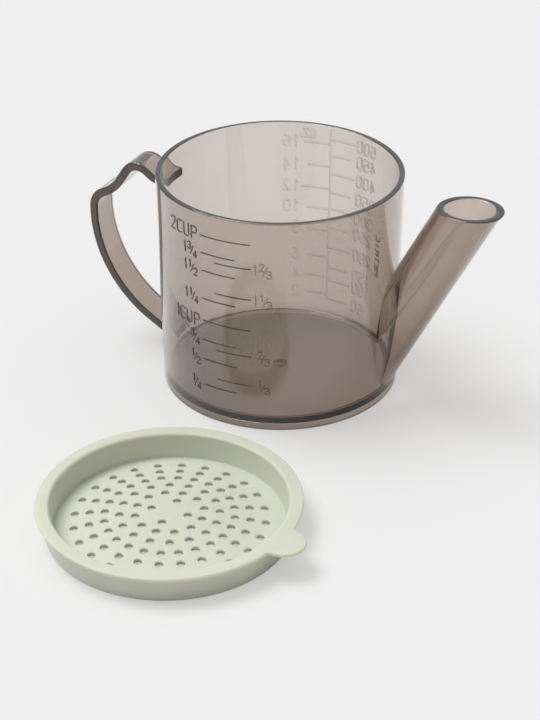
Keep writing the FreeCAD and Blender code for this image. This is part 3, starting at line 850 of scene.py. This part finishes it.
def sage_satin(group):
    """Opaque satin plastic in pale sage, a little uneven in tone and sheen."""
    material, tree = node_tree("sage_plastic_satin")
    nodes = tree.nodes
    link = tree.links.new
    plastic = nodes.new("ShaderNodeBsdfPrincipled")
    plastic.inputs["IOR"].default_value = 1.49
    plastic.inputs["Subsurface Weight"].default_value = 0.6
    plastic.inputs["Subsurface Radius"].default_value = (1.0, 0.8, 0.45)
    plastic.inputs["Subsurface Scale"].default_value = 0.003
    surface = placed_group(tree, group, Ripple_Scale=38.0, Grain_Scale=1400.0, Ripple=0.12, Grain=0.25)
    tone = nodes.new("ShaderNodeValToRGB")
    tone.color_ramp.elements[0].position = 0.3
    tone.color_ramp.elements[0].color = (0.67, 0.693, 0.585, 1)
    tone.color_ramp.elements[1].position = 0.7
    tone.color_ramp.elements[1].color = (0.69, 0.713, 0.605, 1)
    sheen = nodes.new("ShaderNodeMapRange")
    sheen.inputs["From Min"].default_value = 0.3
    sheen.inputs["From Max"].default_value = 0.7
    sheen.inputs["To Min"].default_value = 0.42
    sheen.inputs["To Max"].default_value = 0.55
    output = nodes.new("ShaderNodeOutputMaterial")
    link(surface.outputs["Variation"], tone.inputs["Fac"])
    link(surface.outputs["Variation"], sheen.inputs["Value"])
    link(tone.outputs["Color"], plastic.inputs["Base Color"])
    link(sheen.outputs["Result"], plastic.inputs["Roughness"])
    link(surface.outputs["Normal"], plastic.inputs["Normal"])
    link(plastic.outputs[0], output.inputs["Surface"])
    return material


def value_by_ray(tree, light, camera, mirrored):
    """One value for light that falls on the object, one for the camera, one for gloss and glass."""
    path = tree.nodes.new("ShaderNodeLightPath")
    direct = tree.nodes.new("ShaderNodeMapRange")
    direct.inputs["To Min"].default_value = light
    direct.inputs["To Max"].default_value = camera
    either = tree.nodes.new("ShaderNodeMath")
    either.operation = "MAXIMUM"
    value = tree.nodes.new("ShaderNodeMix")
    value.inputs["B"].default_value = mirrored
    tree.links.new(path.outputs["Is Camera Ray"], direct.inputs["Value"])
    tree.links.new(path.outputs["Is Glossy Ray"], either.inputs[0])
    tree.links.new(path.outputs["Is Transmission Ray"], either.inputs[1])
    tree.links.new(either.outputs[0], value.inputs["Factor"])
    tree.links.new(direct.outputs["Result"], value.inputs["A"])
    return value.outputs["Result"]


def floor_material():
    """Matt pale grey paper; a share of its tone doesn't depend on the light, so shadows stay pale.

    That share is only for what the camera sees, directly or in the plastic, and lights nothing.
    """
    material, tree = node_tree("paper_floor")
    paper = tree.nodes.new("ShaderNodeBsdfDiffuse")
    tree.links.new(value_by_ray(tree, BACKDROP, BACKDROP, 1.0), paper.inputs["Color"])
    glow = tree.nodes.new("ShaderNodeEmission")
    tree.links.new(value_by_ray(tree, 0.0, BACKDROP, 1.0), glow.inputs["Strength"])
    blend = tree.nodes.new("ShaderNodeMixShader")
    tree.links.new(value_by_ray(tree, 0.0, PALE_SHADOW, PALE_UNDER_PLASTIC), blend.inputs["Fac"])
    tree.links.new(paper.outputs[0], blend.inputs[1])
    tree.links.new(glow.outputs[0], blend.inputs[2])
    output = tree.nodes.new("ShaderNodeOutputMaterial")
    tree.links.new(blend.outputs[0], output.inputs["Surface"])
    material.cycles.emission_sampling = "NONE"
    return material


def sun(name, towards, share, size):
    """A lamp from a direction; share is what it adds to the light on the level floor.

    A wide lamp gives the floor a little less than a point would, which WIDE_LAMP_GAIN makes up.
    """
    data = bpy.data.lights.new(name, "SUN")
    towards = Vector(towards).normalized()
    data.energy = WIDE_LAMP_GAIN * share * math.pi / towards.z
    data.angle = math.radians(size)
    lamp = bpy.data.objects.new(name, data)
    lamp.rotation_mode = "QUATERNION"
    lamp.rotation_quaternion = towards.to_track_quat("Z", "Y")
    bpy.context.scene.collection.objects.link(lamp)


def studio():
    """A plain surround, a soft key from above on the left, a wide overhead light, and the floor.

    The sky's light and the lamps' add up to one on the level floor, so colours show about as written.
    """
    world = bpy.data.worlds.new("studio")
    bpy.context.scene.world = world
    world.use_nodes = True
    tree = world.node_tree
    tree.nodes.clear()
    surround = tree.nodes.new("ShaderNodeBackground")
    tree.links.new(value_by_ray(tree, SKY_SHARE, BACKDROP, 1.0), surround.inputs["Strength"])
    output = tree.nodes.new("ShaderNodeOutputWorld")
    tree.links.new(surround.outputs[0], output.inputs["Surface"])
    sun("soft_key", KEY_FROM, KEY_SHARE, 35)
    sun("overhead", (-0.1, 0.15, 1), 1 - SKY_SHARE - KEY_SHARE, 90)

    mesh = bpy.data.meshes.new("floor")
    half = 4.0
    mesh.from_pydata([(-half, -half, 0), (half, -half, 0), (half, half, 0), (-half, half, 0)], [],
                     [(0, 1, 2, 3)])
    floor = bpy.data.objects.new("floor", mesh)
    bpy.context.scene.collection.objects.link(floor)
    mesh.materials.append(floor_material())


def camera():
    """The photograph's view: aimed at a point near the cup's foot from in front, 30 degrees above."""
    level_share = math.cos(CAMERA_ELEVATION)
    back = Vector((math.sin(CAMERA_AZIMUTH) * level_share, -math.cos(CAMERA_AZIMUTH) * level_share,
                   math.sin(CAMERA_ELEVATION)))
    right = Vector((0, 0, 1)).cross(back).normalized()
    up = back.cross(right)
    level = right * math.cos(CAMERA_ROLL) + up * math.sin(CAMERA_ROLL)
    rise = up * math.cos(CAMERA_ROLL) - right * math.sin(CAMERA_ROLL)
    data = bpy.data.cameras.new("camera")
    data.sensor_width = 36
    data.lens = CAMERA_LENS
    data.clip_start = 0.01
    data.clip_end = 50
    view = bpy.data.objects.new("camera", data)
    place = (Vector(CAMERA_TARGET) + back * CAMERA_DISTANCE) * MM
    turn = Matrix((level, rise, back)).transposed().to_4x4()
    view.matrix_world = Matrix.Translation(place) @ turn
    bpy.context.scene.collection.objects.link(view)
    bpy.context.scene.camera = view


scene = bpy.context.scene
scene.view_settings.view_transform = "Standard"
scene.cycles.max_bounces = 24
scene.cycles.transmission_bounces = 24
scene.cycles.transparent_max_bounces = 24
scene.cycles.glossy_bounces = 8
scene.cycles.caustics_reflective = False
scene.cycles.caustics_refractive = False

camera()
studio()
moulded = moulded_surface_group()
clear = smoky_clear(moulded)
satin = sage_satin(moulded)

cup = make_cup()
cup.data.materials.clear()
cup.data.materials.append(clear)
paint_shade_on_faces(cup)
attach(cup, "cup")
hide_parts("vessel", "pouring_spout", "handle", "cup_scale_marks", "ounce_scale_marks",
            "millilitre_scale_marks")

lid = make_lid()
lid.data.materials.clear()
lid.data.materials.append(satin)
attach(lid, "lid")
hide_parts("strainer_lid")

bpy.context.view_layer.update()
